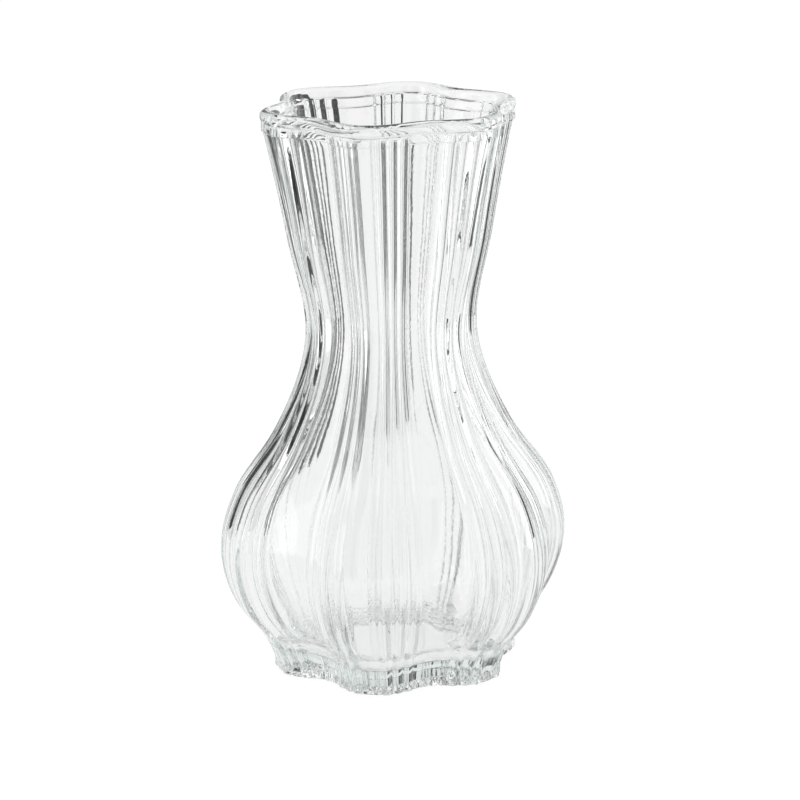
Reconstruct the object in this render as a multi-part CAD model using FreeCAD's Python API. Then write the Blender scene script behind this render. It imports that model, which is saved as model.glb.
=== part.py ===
"""Glass bud vase: one clear moulding with six soft lobes, made as its nine zones.

From the ground up the zones are the heel, the foot, the lower and upper bulb, the
shoulder, the waist, the flared neck, the collar and the lip. Each zone is a closed solid, and
each meets the next face to face on a level plane. Millimetres, +Z up, with the
origin on the axis at the ground and one lobe facing -Y.
"""
import FreeCAD
import Part
import math
import os

# Driving dimensions, in millimetres.
HEIGHT = 150.0
LOBES = 6
LOBE_WALL = 3.6           # glass thickness at a lobe
VALLEY_WALL = 2.2         # and at a valley, because the inside is softer than the outside
FLOOR = 7.0               # top of the solid glass base inside
FLOOR_CORNER = 6.0        # round where the cavity's floor meets its wall
RECESS_DEPTH = 1.2        # hollow in the underside, inside the bearing ring
BEARING_WIDTH = 14.0      # width of that ring at a lobe
HEEL_ROUND = 0.9          # round along the bottom edge
HEEL_STEP = 0.1           # how far the heel stands out below the foot

# Top of each zone that the whole wall runs through.
HEEL_TOP = 2.5
FOOT_TOP = 8.0
BULB_MIDDLE = 28.0
BULB_TOP = 48.0
SHOULDER_TOP = 72.0
WAIST_TOP = 104.0
BODY_TOP = 144.2
COLLAR_TOP = 146.8

# Vertical shape of the wall: height, radius at a lobe, and valley radius as a share of it.
PROFILE = (
    (0.0, 32.0, 0.830),
    (8.0, 34.9, 0.825),
    (18.0, 42.4, 0.850),
    (32.0, 46.5, 0.890),
    (48.0, 42.9, 0.910),
    (64.0, 31.9, 0.905),
    (88.0, 22.8, 0.865),
    (116.0, 27.2, 0.850),
    (BODY_TOP, 33.0, 0.835),
)
COLLAR_LOBE = 33.5
COLLAR_VALLEY_SHARE = 0.840

# The lip's rounded bead: height and lobe radius up its outside, then up its inside.
LIP_OUTSIDE = ((COLLAR_TOP, 33.8), (147.5, 34.2), (148.6, 34.4), (149.5, 34.0), (HEIGHT, 33.1))
LIP_INSIDE = ((COLLAR_TOP, 30.4), (148.2, 30.6), (149.3, 31.2), (HEIGHT, 32.1))
LIP_VALLEY_SHARE = 0.851

# Each 60 degree sector holds a flat lobe face, two flanks of ribs and a hollow valley panel.
SECTOR = 360.0 / LOBES
FACE_ANGLE = 9.5
RIBS_PER_FLANK = 3
RIB_ANGLE = 5.25
RIB_DEPTH = 0.75          # how far a rib stands out, the same at every height

SECTION_SPACING = 7.0     # height between the sections that the wall is drawn through
CORNER_SPACING = 1.0      # the same, round the corner of the cavity's floor
LIP_SPACING = 0.4         # and up the lip's bead
OVERSHOOT = 2.0           # how far a cutting body runs past what it cuts


def smooth(knots, z):
    """Value at z of the cubic curve through the (z, value) knots."""
    last = len(knots) - 1

    def chord(i):
        return (knots[i + 1][1] - knots[i][1]) / (knots[i + 1][0] - knots[i][0])

    def slope(i):
        if i == 0:
            return 2 * chord(0) - slope(1)
        if i == last:
            return 2 * chord(last - 1) - slope(last - 1)
        below = knots[i][0] - knots[i - 1][0]
        above = knots[i + 1][0] - knots[i][0]
        return (chord(i - 1) * above + chord(i) * below) / (below + above)

    i = 0
    while i < last - 1 and z > knots[i + 1][0]:
        i += 1
    span = knots[i + 1][0] - knots[i][0]
    t = (z - knots[i][0]) / span
    start = (2 * t**3 - 3 * t**2 + 1) * knots[i][1] + (t**3 - 2 * t**2 + t) * span * slope(i)
    end = (3 * t**2 - 2 * t**3) * knots[i + 1][1] + (t**3 - t**2) * span * slope(i + 1)
    return start + end


def wall_radii(z):
    """Radii of the outer wall at a lobe and at a valley."""
    lobe = smooth([(height, radius) for height, radius, share in PROFILE], z)
    share = smooth([(height, share) for height, radius, share in PROFILE], z)
    return lobe, lobe * share


def cavity_radii(z):
    """Radii of the cavity at a lobe and at a valley, rounded in towards the floor."""
    lobe, valley = wall_radii(z)
    below = max(0.0, FLOOR + FLOOR_CORNER - z)
    corner = FLOOR_CORNER - math.sqrt(FLOOR_CORNER**2 - below**2)
    return lobe - LOBE_WALL - corner, valley - VALLEY_WALL - corner


def point(lobe, valley, angle, z, stretch=1.0, out=0.0):
    """Point on or near the lobed outline, at an angle from the lobe that faces -Y."""
    swing = (1 + math.cos(math.radians(LOBES * angle))) / 2
    radius = (valley + (lobe - valley) * swing) * stretch + out
    turn = math.radians(angle)
    return FreeCAD.Vector(radius * math.sin(turn), -radius * math.cos(turn), z)


def bow(start, middle, end):
    """Edge from start to end that passes through middle."""
    curve = Part.BezierCurve()
    curve.setPoles([start, middle * 2 - (start + end) * 0.5, end])
    return curve.toShape()


def ribbed_outline(lobe, valley, z):
    """Closed outline with flat lobe faces, ribbed flanks and hollow valley panels."""
    edges = []
    valley_angle = SECTOR - FACE_ANGLE - 2 * RIBS_PER_FLANK * RIB_ANGLE
    flat = math.cos(math.radians(FACE_ANGLE / 2))
    flank = [(RIB_ANGLE, 1.0, RIB_DEPTH)] * RIBS_PER_FLANK
    panels = [(FACE_ANGLE, flat, 0.0)] + flank + [(valley_angle, 1.0, 0.0)] + flank
    for sector in range(LOBES):
        angle = sector * SECTOR - FACE_ANGLE / 2
        for width, stretch, out in panels:
            start = point(lobe, valley, angle, z)
            middle = point(lobe, valley, angle + width / 2, z, stretch, out)
            end = point(lobe, valley, angle + width, z)
            edges.append(bow(start, middle, end))
            angle += width
    return Part.Wire(edges)


def plain_outline(lobe, valley, z):
    """Closed outline with the same lobes and no ribs."""
    points_per_lobe = 8
    step = SECTOR / points_per_lobe
    curve = Part.BSplineCurve()
    points = [point(lobe, valley, i * step, z) for i in range(LOBES * points_per_lobe)]
    curve.interpolate(points, PeriodicFlag=True)
    return Part.Wire([curve.toShape()])


def heights(low, high, spacing):
    """Evenly spaced heights from low to high."""
    steps = max(1, math.ceil((high - low) / spacing))
    return [low + (high - low) * i / steps for i in range(steps + 1)]


def loft(outlines):
    return Part.makeLoft(outlines, True, False)


def slab(solid, low, high):
    """The part of a solid between two heights."""
    side = 4 * HEIGHT
    box = Part.makeBox(side, side, high - low, FreeCAD.Vector(-side / 2, -side / 2, low))
    return solid.common(box).Solids[0]


def cavity():
    """The space inside, from the floor to above the body."""
    corner_heights = heights(FLOOR, FLOOR + FLOOR_CORNER, CORNER_SPACING)
    wall_heights = heights(FLOOR + FLOOR_CORNER, BODY_TOP, SECTION_SPACING)
    levels = corner_heights + wall_heights[1:] + [BODY_TOP + OVERSHOOT]
    return loft([plain_outline(*cavity_radii(z), z) for z in levels])


def body():
    """The ribbed glass wall with its solid base, from the heel to the collar."""
    levels = heights(HEEL_TOP, BODY_TOP, SECTION_SPACING)
    return loft([ribbed_outline(*wall_radii(z), z) for z in levels]).cut(cavity())


def heel():
    """Rounded bottom band with a bearing ring around a shallow recess."""
    lobe, valley = wall_radii(HEEL_TOP)
    outlines = []
    for z in heights(0.0, HEEL_ROUND, HEEL_ROUND / 3) + [HEEL_TOP]:
        rise = max(0.0, HEEL_ROUND - z)
        inset = HEEL_ROUND - math.sqrt(HEEL_ROUND**2 - rise**2) - HEEL_STEP
        outlines.append(ribbed_outline(lobe - inset, valley - inset, z))
    recess_lobe = lobe - BEARING_WIDTH
    recess_valley = recess_lobe * valley / lobe
    levels = (-OVERSHOOT, RECESS_DEPTH)
    recess = loft([plain_outline(recess_lobe, recess_valley, z) for z in levels])
    return loft(outlines).cut(recess).Solids[0]


def collar():
    """Band under the lip, a small step wider than the body, with the same ribs."""
    levels = (BODY_TOP, COLLAR_TOP)
    outside = loft([ribbed_outline(COLLAR_LOBE, COLLAR_LOBE * COLLAR_VALLEY_SHARE, z) for z in levels])
    bore = cavity_radii(BODY_TOP)
    inside = loft([plain_outline(*bore, z) for z in (BODY_TOP - OVERSHOOT, COLLAR_TOP + OVERSHOOT)])
    return outside.cut(inside).Solids[0]


def lip():
    """Rounded bead around the mouth."""

    def skin(knots):
        levels = heights(COLLAR_TOP, HEIGHT, LIP_SPACING)
        radii = [smooth(knots, z) for z in levels]
        return loft([plain_outline(r, r * LIP_VALLEY_SHARE, z) for r, z in zip(radii, levels)])

    return skin(LIP_OUTSIDE).cut(skin(LIP_INSIDE)).Solids[0]


def zones():
    """Every zone's node name and solid."""
    wall = body()
    return {
        "heel": heel(),
        "foot": slab(wall, HEEL_TOP, FOOT_TOP),
        "lower_bulb": slab(wall, FOOT_TOP, BULB_MIDDLE),
        "upper_bulb": slab(wall, BULB_MIDDLE, BULB_TOP),
        "shoulder": slab(wall, BULB_TOP, SHOULDER_TOP),
        "waist": slab(wall, SHOULDER_TOP, WAIST_TOP),
        "flared_neck": slab(wall, WAIST_TOP, BODY_TOP),
        "collar": collar(),
        "lip": lip(),
    }


os.makedirs("parts", exist_ok=True)
for name, solid in zones().items():
    solid.exportStep(f"parts/{name}.step")
    box = solid.optimalBoundingBox()
    print(f"{name:12s} z {box.ZMin:7.2f} to {box.ZMax:7.2f}  width {box.XLength:6.2f} x {box.YLength:6.2f}"
          f"  volume {solid.Volume / 1000:7.2f} cm3  valid {solid.isValid()}")
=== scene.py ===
"""Looks of the glass bud vase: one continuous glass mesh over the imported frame, in metres.

The vase is one moulding, so one closed mesh stands for all nine zones of the frame.
Its outline follows the same driving dimensions as the part, scaled to the frame's height.
"""

import math

import bmesh
import bpy
from mathutils import Matrix, Vector, noise


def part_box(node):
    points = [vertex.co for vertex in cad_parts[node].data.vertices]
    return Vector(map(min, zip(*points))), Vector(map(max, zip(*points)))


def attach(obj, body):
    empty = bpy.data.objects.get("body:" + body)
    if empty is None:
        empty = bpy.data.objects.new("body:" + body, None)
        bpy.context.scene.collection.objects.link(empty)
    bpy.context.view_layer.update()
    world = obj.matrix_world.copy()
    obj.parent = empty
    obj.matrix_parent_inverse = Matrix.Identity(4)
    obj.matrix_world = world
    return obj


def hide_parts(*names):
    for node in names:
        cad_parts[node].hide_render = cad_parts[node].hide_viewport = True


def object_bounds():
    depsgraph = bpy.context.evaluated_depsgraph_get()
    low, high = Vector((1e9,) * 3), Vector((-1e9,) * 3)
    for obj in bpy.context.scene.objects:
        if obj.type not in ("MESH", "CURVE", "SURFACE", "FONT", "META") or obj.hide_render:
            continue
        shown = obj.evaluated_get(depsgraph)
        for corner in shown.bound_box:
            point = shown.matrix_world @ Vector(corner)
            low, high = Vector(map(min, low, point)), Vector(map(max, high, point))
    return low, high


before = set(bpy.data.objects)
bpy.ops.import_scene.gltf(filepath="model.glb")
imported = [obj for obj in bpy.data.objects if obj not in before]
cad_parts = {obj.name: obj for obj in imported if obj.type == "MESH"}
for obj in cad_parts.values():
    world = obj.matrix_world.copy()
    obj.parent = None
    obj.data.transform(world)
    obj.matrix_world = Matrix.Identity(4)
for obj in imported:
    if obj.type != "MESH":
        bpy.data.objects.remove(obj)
CAD_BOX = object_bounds()

ZONES = (
    "heel", "foot", "lower_bulb", "upper_bulb", "shoulder", "waist", "flared_neck", "collar", "lip",
)

# The frame sets the scale: lengths below are millimetres of a 150 mm vase.
HEIGHT_MM = 150.0
MM = CAD_BOX[1].z / HEIGHT_MM

LOBES = 6
SECTOR = 360.0 / LOBES
LOBE_WALL = 3.6           # glass thickness at a lobe
VALLEY_WALL = 2.2         # and at a valley, because the inside is softer than the outside
FLOOR = 7.0
FLOOR_CORNER = 6.0
RECESS_DEPTH = 1.2
BEARING_WIDTH = 14.0
HEEL_ROUND = 0.9
HEEL_STEP = 0.1
HEEL_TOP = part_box("heel")[1].z / MM
BODY_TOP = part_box("flared_neck")[1].z / MM
COLLAR_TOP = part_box("collar")[1].z / MM

# Height, radius at a lobe, and valley radius as a share of it.
PROFILE = (
    (0.0, 32.0, 0.830),
    (8.0, 34.9, 0.825),
    (18.0, 42.4, 0.850),
    (32.0, 46.5, 0.890),
    (48.0, 42.9, 0.910),
    (64.0, 31.9, 0.905),
    (88.0, 22.8, 0.865),
    (116.0, 27.2, 0.850),
    (BODY_TOP, 33.0, 0.835),
)
COLLAR_LOBE = 33.5
COLLAR_VALLEY_SHARE = 0.840

# The lip's rounded bead: height and lobe radius up its outside, then up its inside.
LIP_OUTSIDE = ((COLLAR_TOP, 33.8), (147.5, 34.2), (148.6, 34.4), (149.5, 34.0), (HEIGHT_MM, 33.1))
LIP_INSIDE = ((COLLAR_TOP, 30.4), (148.2, 30.6), (149.3, 31.2), (HEIGHT_MM, 32.1))
LIP_VALLEY_SHARE = 0.851

# Each sector goes from a flat lobe face over a flank of ribs, a hollow valley panel and another
# flank to the next face. Angles are in degrees.
FACE_ANGLE = 9.5
RIBS_PER_FLANK = 3
RIB_ANGLE = 5.25
RIB_DEPTH = 0.75          # how far a rib stands out, the same at every height
RIB_ARC = 35.0            # half the arc that gives a rib its round form
VALLEY_ANGLE = SECTOR - FACE_ANGLE - 2 * RIBS_PER_FLANK * RIB_ANGLE
FACE_STEPS = 4
RIB_STEPS = 8
VALLEY_STEPS = 10

ROW_SPACING = 1.7         # height between rows of the mesh
COLLAR_SPACING = 0.6      # the same, up the collar
LIP_SPACING = 0.25        # and round the lip's bead
FILLET = 0.15             # softening of the small moulded steps
HEEL_TURNS = (0, 18, 36, 54, 72, 90)
CORNER_TURNS = (75, 60, 45, 30, 15, 0)
RECESS_RINGS = (0.02, 0.25, 0.5, 0.75, 0.9)
FLOOR_RINGS = (0.8, 0.6, 0.4, 0.2, 0.02)
FADED_RIBS = 0.4          # what is left of the ribs at the very top of the collar
MOUTH_DROP = 0.5          # the inner wall starts this far under the lip

# Waviness of the outside, from the cooling glass, and of the blown inside, which no mould
# touched. It is made of slow swells and finer ripples, with their sizes round and up the vase.
OUTER_WAVE = 0.04
INNER_WAVE = 0.20
SWELL_WIDTH = 12
SWELL_HEIGHT = 26
SWELL_SHARE = 0.45
RIPPLE_WIDTH = 5
RIPPLE_HEIGHT = 9
RIPPLE_SHARE = 0.15
RIPPLE_OFFSET = 40        # takes the ripples from another part of the noise

# Stippling under the bearing ring.
STIPPLE = 1.6             # depth where the noise is strongest
STIPPLE_PITCH = 2.3       # how fine it is
STIPPLE_ROWS = 26


def smooth(knots, z):
    """Value at z of the cubic curve through the (z, value) knots."""
    last = len(knots) - 1

    def chord(i):
        return (knots[i + 1][1] - knots[i][1]) / (knots[i + 1][0] - knots[i][0])

    def slope(i):
        if i == 0:
            return 2 * chord(0) - slope(1)
        if i == last:
            return 2 * chord(last - 1) - slope(last - 1)
        below = knots[i][0] - knots[i - 1][0]
        above = knots[i + 1][0] - knots[i][0]
        return (chord(i - 1) * above + chord(i) * below) / (below + above)

    i = 0
    while i < last - 1 and z > knots[i + 1][0]:
        i += 1
    span = knots[i + 1][0] - knots[i][0]
    t = (z - knots[i][0]) / span
    start = (2 * t**3 - 3 * t**2 + 1) * knots[i][1] + (t**3 - 2 * t**2 + t) * span * slope(i)
    end = (3 * t**2 - 2 * t**3) * knots[i + 1][1] + (t**3 - t**2) * span * slope(i + 1)
    return start + end


def wall_radii(z):
    """Radii of the outer wall at a lobe and at a valley."""
    lobe = smooth([(height, radius) for height, radius, share in PROFILE], z)
    share = smooth([(height, share) for height, radius, share in PROFILE], z)
    return lobe, lobe * share


def cavity_radii(z):
    """Radii of the cavity at a lobe and at a valley, rounded in towards the floor."""
    lobe, valley = wall_radii(min(z, BODY_TOP))
    below = max(0.0, FLOOR + FLOOR_CORNER - z)
    corner = FLOOR_CORNER - math.sqrt(FLOOR_CORNER**2 - below**2)
    return lobe - LOBE_WALL - corner, valley - VALLEY_WALL - corner


def flat_face(width, steps):
    """Places across a flat face: angle, how far it falls short of the round there, no rib."""
    half = math.radians(width / 2)
    turns = [half * (2 * i / steps - 1) for i in range(steps)]
    return [(math.degrees(turn + half), math.cos(half) / math.cos(turn) - 1, 0.0) for turn in turns]


def round_rib(width, steps):
    """Places across a rib, closer together towards its steep sides, with its share of the depth."""
    arc = math.radians(RIB_ARC)
    turns = [arc * (2 * i / steps - 1) for i in range(steps)]
    places = []
    for turn in turns:
        across = width / 2 * (1 + math.sin(turn) / math.sin(arc))
        places.append((across, 0.0, (math.cos(turn) - math.cos(arc)) / (1 - math.cos(arc))))
    return places


def hollow_panel(width, steps):
    """Places across the plain hollow between two flanks."""
    return [(width * i / steps, 0.0, 0.0) for i in range(steps)]


def section_places():
    """Every place round the section: angle, flatness as a share of the radius, share of a rib."""
    flank = [(RIB_ANGLE, round_rib(RIB_ANGLE, RIB_STEPS))] * RIBS_PER_FLANK
    panels = [(FACE_ANGLE, flat_face(FACE_ANGLE, FACE_STEPS))] + flank
    panels += [(VALLEY_ANGLE, hollow_panel(VALLEY_ANGLE, VALLEY_STEPS))] + flank
    places = []
    for sector in range(LOBES):
        angle = sector * SECTOR - FACE_ANGLE / 2
        for width, panel in panels:
            places += [(angle + across, flat, rib) for across, flat, rib in panel]
            angle += width
    return places


SECTION = section_places()


def waviness(place):
    """How far the cooling glass has sunk at a place, from 0 to 1: slow swells and finer ripples."""
    swell = Vector((place.x / SWELL_WIDTH, place.y / SWELL_WIDTH, place.z / SWELL_HEIGHT))
    ripple = Vector((
        place.x / RIPPLE_WIDTH + RIPPLE_OFFSET,
        place.y / RIPPLE_WIDTH,
        place.z / RIPPLE_HEIGHT,
    ))
    sunk = 0.5 + SWELL_SHARE * noise.noise(swell) + RIPPLE_SHARE * noise.noise(ripple)
    return min(1.0, max(0.0, sunk))


def ring(lobe, valley, z, ribs=0.0, wave=0.0):
    """One closed row of points: ribs is 1 with the full ribs and faces, and 0 without them."""
    row = []
    for angle, flat, rib in SECTION:
        swing = (1 + math.cos(math.radians(LOBES * angle))) / 2
        radius = (valley + (lobe - valley) * swing) * (1 + flat * ribs) + RIB_DEPTH * rib * ribs
        turn = math.radians(angle)
        across = Vector((math.sin(turn), -math.cos(turn), 0))
        place = across * radius + Vector((0, 0, z))
        row.append(place - across * wave * waviness(place))
    return row


def levels(low, high, spacing):
    """Evenly spaced heights from low to high."""
    steps = max(1, math.ceil((high - low) / spacing))
    return [low + (high - low) * i / steps for i in range(steps + 1)]


def stippled_ring(lobe, valley):
    """A row of the bearing ring, pitted upwards at random with small rough marks."""
    row = ring(lobe, valley, 0.0)
    for place in row:
        place.z = STIPPLE * max(0.0, noise.noise(place * STIPPLE_PITCH))
    return row


def underside():
    """Rows from the middle of the recess out to the bearing ring."""
    lobe, valley = wall_radii(HEEL_TOP)
    edge = lobe - BEARING_WIDTH
    share = valley / lobe
    rows = [ring(edge * part, edge * part * share, RECESS_DEPTH) for part in RECESS_RINGS]
    rows.append(ring(edge - 2 * FILLET, (edge - 2 * FILLET) * share, RECESS_DEPTH))
    rows.append(ring(edge, edge * share, RECESS_DEPTH - 2 * FILLET))
    rows.append(ring(edge, edge * share, 2 * FILLET))
    outer = lobe - HEEL_ROUND + HEEL_STEP
    for i in range(STIPPLE_ROWS):
        radius = edge + 2 * FILLET + (outer - edge - 2 * FILLET) * i / STIPPLE_ROWS
        rows.append(stippled_ring(radius, radius * share))
    return rows


def outside():
    """Rows up the outer wall: heel, body, collar."""
    rows = []
    lobe, valley = wall_radii(HEEL_TOP)
    for turn in HEEL_TURNS:
        z = HEEL_ROUND * (1 - math.cos(math.radians(turn)))
        inset = HEEL_ROUND * (1 - math.sin(math.radians(turn))) - HEEL_STEP
        rows.append(ring(lobe - inset, valley - inset, z, ribs=1))
    for z, out in ((HEEL_TOP - FILLET, 1.0), (HEEL_TOP, 0.6), (HEEL_TOP + FILLET, 0.1)):
        rows.append(ring(lobe + HEEL_STEP * out, valley + HEEL_STEP * out, z, ribs=1))
    for z in levels(HEEL_TOP + 2 * FILLET, BODY_TOP - FILLET, ROW_SPACING):
        rows.append(ring(*wall_radii(z), z, ribs=1, wave=OUTER_WAVE))
    rows.append(ring(*wall_radii(BODY_TOP), BODY_TOP, ribs=1))
    collar_valley = COLLAR_LOBE * COLLAR_VALLEY_SHARE
    for z in levels(BODY_TOP + FILLET, COLLAR_TOP - FILLET, COLLAR_SPACING):
        rows.append(ring(COLLAR_LOBE, collar_valley, z, ribs=1))
    rows.append(ring(COLLAR_LOBE, collar_valley, COLLAR_TOP, ribs=FADED_RIBS))
    return rows


def lip():
    """Rows over the rounded bead, from the top of the collar to the inside of the mouth."""
    rows = []
    for z in levels(COLLAR_TOP + FILLET, HEIGHT_MM, LIP_SPACING):
        radius = smooth(LIP_OUTSIDE, z)
        rows.append(ring(radius, radius * LIP_VALLEY_SHARE, z))
    top = (smooth(LIP_OUTSIDE, HEIGHT_MM) + smooth(LIP_INSIDE, HEIGHT_MM)) / 2
    rows.append(ring(top, top * LIP_VALLEY_SHARE, HEIGHT_MM))
    for z in reversed(levels(COLLAR_TOP, HEIGHT_MM, LIP_SPACING)):
        radius = smooth(LIP_INSIDE, z)
        rows.append(ring(radius, radius * LIP_VALLEY_SHARE, z))
    return rows


def inside():
    """Rows down the cavity's wall and in across its floor."""
    rows = []
    corner_top = FLOOR + FLOOR_CORNER
    for z in reversed(levels(corner_top, COLLAR_TOP - MOUTH_DROP, ROW_SPACING)):
        rows.append(ring(*cavity_radii(z), z, wave=INNER_WAVE))
    for turn in CORNER_TURNS:
        z = corner_top - FLOOR_CORNER * math.cos(math.radians(turn))
        rows.append(ring(*cavity_radii(z), z, wave=INNER_WAVE * turn / 90))
    lobe, valley = cavity_radii(FLOOR)
    for part in FLOOR_RINGS:
        rows.append(ring(lobe * part, valley * part, FLOOR))
    return rows


def glass_mesh():
    """One closed skin through every row, from the underside's middle to the cavity floor's."""
    mesh = bmesh.new()
    rows = []
    for points in underside() + outside() + lip() + inside():
        rows.append([mesh.verts.new(p * MM) for p in points])
    count = len(SECTION)
    for lower, upper in zip(rows, rows[1:]):
        for i in range(count):
            j = (i + 1) % count
            mesh.faces.new((lower[i], lower[j], upper[j], upper[i]))
    mesh.faces.new(rows[0])
    mesh.faces.new(rows[-1])
    bmesh.ops.recalc_face_normals(mesh, faces=mesh.faces)
    for face in mesh.faces:
        face.smooth = True
    data = bpy.data.meshes.new("vase_glass")
    mesh.to_mesh(data)
    mesh.free()
    return data


GLASS_TINT = (0.86, 0.915, 0.90, 1)
GLASS_DENSITY = 20.0
GRAIN_PER_METRE = 2600.0
GRAIN_STRETCH = 0.4       # the grain is drawn out up the vase
GRAIN_DEPTH = 0.00002


def glass_material():
    """Clear soda-lime glass: a faint grey-green depth and a very fine grain on its skin."""
    material = bpy.data.materials.new("clear_glass")
    material.use_nodes = True
    nodes = material.node_tree.nodes
    links = material.node_tree.links
    shader = nodes["Principled BSDF"]
    shader.inputs["Base Color"].default_value = (1, 1, 1, 1)
    shader.inputs["Roughness"].default_value = 0.0
    shader.inputs["IOR"].default_value = 1.5
    shader.inputs["Transmission Weight"].default_value = 1.0

    depth = nodes.new("ShaderNodeVolumeAbsorption")
    depth.inputs["Color"].default_value = GLASS_TINT
    depth.inputs["Density"].default_value = GLASS_DENSITY
    links.new(depth.outputs["Volume"], nodes["Material Output"].inputs["Volume"])

    place = nodes.new("ShaderNodeTexCoord")
    stretch = nodes.new("ShaderNodeMapping")
    stretch.inputs["Scale"].default_value = (1, 1, GRAIN_STRETCH)
    links.new(place.outputs["Object"], stretch.inputs["Vector"])
    grain = nodes.new("ShaderNodeTexNoise")
    grain.inputs["Scale"].default_value = GRAIN_PER_METRE
    grain.inputs["Detail"].default_value = 2.0
    links.new(stretch.outputs["Vector"], grain.inputs["Vector"])
    bump = nodes.new("ShaderNodeBump")
    bump.inputs["Strength"].default_value = 0.2
    bump.inputs["Distance"].default_value = GRAIN_DEPTH
    links.new(grain.outputs["Fac"], bump.inputs["Height"])
    links.new(bump.outputs["Normal"], shader.inputs["Normal"])
    return material


def make_vase():
    vase = bpy.data.objects.new("vase_glass", glass_mesh())
    bpy.context.collection.objects.link(vase)
    vase.data.materials.append(glass_material())
    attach(vase, "root")
    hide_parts(*ZONES)


FLOOR_REACH = 6.0
FLOOR_SEEN = 0.95
FLOOR_IN_GLASS = 0.83
STUDIO_SEEN = 1.0
STUDIO_IN_GLASS = 0.80


def light_mix(tree, seen_directly, seen_in_glass):
    """Node for a brightness that differs between what the camera sees and what the glass shows."""
    ray = tree.nodes.new("ShaderNodeLightPath")
    mix = tree.nodes.new("ShaderNodeMapRange")
    tree.links.new(ray.outputs["Is Camera Ray"], mix.inputs["Value"])
    mix.inputs["To Min"].default_value = seen_in_glass
    mix.inputs["To Max"].default_value = seen_directly
    return mix


def make_floor():
    """A plain pale floor, large enough to run out of every view."""
    mesh = bmesh.new()
    bmesh.ops.create_grid(mesh, x_segments=1, y_segments=1, size=FLOOR_REACH)
    data = bpy.data.meshes.new("floor")
    mesh.to_mesh(data)
    mesh.free()
    floor = bpy.data.objects.new("floor", data)
    bpy.context.collection.objects.link(floor)
    material = bpy.data.materials.new("pale_floor")
    material.use_nodes = True
    tree = material.node_tree
    shader = tree.nodes["Principled BSDF"]
    shader.inputs["Base Color"].default_value = (0.1, 0.1, 0.1, 1)
    shader.inputs["Roughness"].default_value = 0.9
    shader.inputs["Specular IOR Level"].default_value = 0.0
    shader.inputs["Emission Color"].default_value = (1, 1, 1, 1)
    mix = light_mix(tree, FLOOR_SEEN, FLOOR_IN_GLASS)
    tree.links.new(mix.outputs["Result"], shader.inputs["Emission Strength"])
    data.materials.append(material)


# The cards round the vase, which only its glass shows: azimuth of the middle from -Y towards
# +X and half width, in degrees, distance, and brightness (0 is a black flag).
CARDS = (
    (18.0, 7.0, 0.24, 0.0),
    (75.0, 5.0, 0.28, 0.0),
    (112.0, 8.0, 0.28, 1.9),
    (128.0, 5.0, 0.28, 0.0),
    (150.0, 8.0, 0.28, 1.4),
    (209.0, 6.0, 0.25, 0.0),
    (224.0, 9.0, 0.40, 0.0),
    (241.5, 8.5, 0.25, 0.0),
    (255.0, 4.0, 0.28, 1.9),
    (300.0, 10.0, 0.28, 2.0),
    (330.0, 16.0, 0.24, 0.0),
)
CARD_HEIGHT = 0.6
CARD_STEPS = 6


def make_card(middle, half, distance, brightness):
    """A curved card that stands round the vase out of shot, from one azimuth to another."""
    mesh = bmesh.new()
    columns = []
    for i in range(CARD_STEPS + 1):
        turn = math.radians(middle + half * (2 * i / CARD_STEPS - 1))
        foot = Vector((math.sin(turn), -math.cos(turn), 0)) * distance
        columns.append((mesh.verts.new(foot), mesh.verts.new(foot + Vector((0, 0, CARD_HEIGHT)))))
    for left, right in zip(columns, columns[1:]):
        mesh.faces.new((left[0], right[0], right[1], left[1]))
    name = f"card_{round(middle)}"
    data = bpy.data.meshes.new(name)
    mesh.to_mesh(data)
    mesh.free()
    material = bpy.data.materials.new(name)
    material.use_nodes = True
    shader = material.node_tree.nodes["Principled BSDF"]
    shader.inputs["Base Color"].default_value = (0.01, 0.01, 0.01, 1)
    shader.inputs["Emission Color"].default_value = (1, 1, 1, 1)
    shader.inputs["Emission Strength"].default_value = brightness
    data.materials.append(material)
    card = bpy.data.objects.new(name, data)
    bpy.context.collection.objects.link(card)
    card.visible_camera = False
    card.visible_diffuse = False
    card.visible_shadow = False


SOFTBOX_PLACE = (0.1, 0.2, 1.3)
SOFTBOX_SIDE = 1.2
SOFTBOX_POWER = 2.0


def make_softbox():
    """A soft square light above the vase, aimed at its foot."""
    lamp = bpy.data.lights.new("top_softbox", "AREA")
    lamp.shape = "RECTANGLE"
    lamp.size = SOFTBOX_SIDE
    lamp.size_y = SOFTBOX_SIDE
    lamp.energy = SOFTBOX_POWER
    box = bpy.data.objects.new("top_softbox", lamp)
    box.location = SOFTBOX_PLACE
    box.rotation_euler = (-Vector(SOFTBOX_PLACE)).to_track_quat("-Z", "Y").to_euler()
    bpy.context.collection.objects.link(box)


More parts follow.
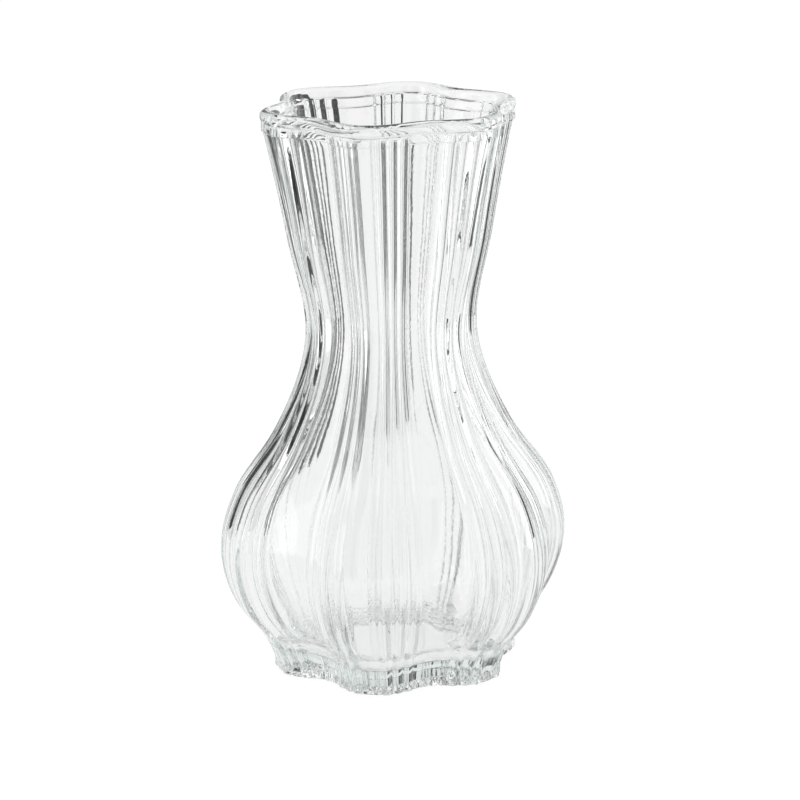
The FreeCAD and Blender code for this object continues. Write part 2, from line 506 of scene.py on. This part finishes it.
def make_world():
    """A white studio, a little darker where the glass shows it."""
    world = bpy.data.worlds.new("studio")
    bpy.context.scene.world = world
    world.use_nodes = True
    tree = world.node_tree
    background = tree.nodes["Background"]
    background.inputs["Color"].default_value = (1, 1, 1, 1)
    mix = light_mix(tree, STUDIO_SEEN, STUDIO_IN_GLASS)
    tree.links.new(mix.outputs["Result"], background.inputs["Strength"])


# The camera of the product shot: where it stands round the vase, and how it is held.
CAMERA_AZIMUTH = 11.4
CAMERA_ELEVATION = 14.4
CAMERA_DISTANCE = 0.9864
CAMERA_ROLL = -0.69
CAMERA_LENS = 169.05
AIM_RIGHT = 0.00196
AIM_DOWN = 0.00398


def make_camera():
    azimuth = math.radians(CAMERA_AZIMUTH)
    elevation = math.radians(CAMERA_ELEVATION)
    back = Vector((
        math.sin(azimuth) * math.cos(elevation),
        -math.cos(azimuth) * math.cos(elevation),
        math.sin(elevation),
    ))
    right = Vector((math.cos(azimuth), math.sin(azimuth), 0))
    centre = Vector((0, 0, CAD_BOX[1].z / 2))
    place = centre + back * CAMERA_DISTANCE
    aim = centre + right * AIM_RIGHT - back.cross(right) * AIM_DOWN
    data = bpy.data.cameras.new("camera")
    data.sensor_width = 36.0
    data.lens = CAMERA_LENS
    camera = bpy.data.objects.new("camera", data)
    facing = (aim - place).to_track_quat("-Z", "Y").to_matrix().to_4x4()
    roll = Matrix.Rotation(math.radians(CAMERA_ROLL), 4, "Z")
    camera.matrix_world = Matrix.Translation(place) @ facing @ roll
    bpy.context.collection.objects.link(camera)
    bpy.context.scene.camera = camera


def set_up_render():
    """Enough bounces for light to pass through both walls, and plain colours."""
    scene = bpy.context.scene
    scene.cycles.max_bounces = 24
    scene.cycles.transmission_bounces = 24
    scene.cycles.glossy_bounces = 12
    scene.cycles.diffuse_bounces = 3
    scene.cycles.caustics_reflective = True
    scene.cycles.caustics_refractive = True
    scene.view_settings.view_transform = "Standard"


def write_sizes():
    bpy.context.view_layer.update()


make_vase()
make_floor()
for card in CARDS:
    make_card(*card)
make_world()
make_softbox()
make_camera()
set_up_render()
write_sizes()
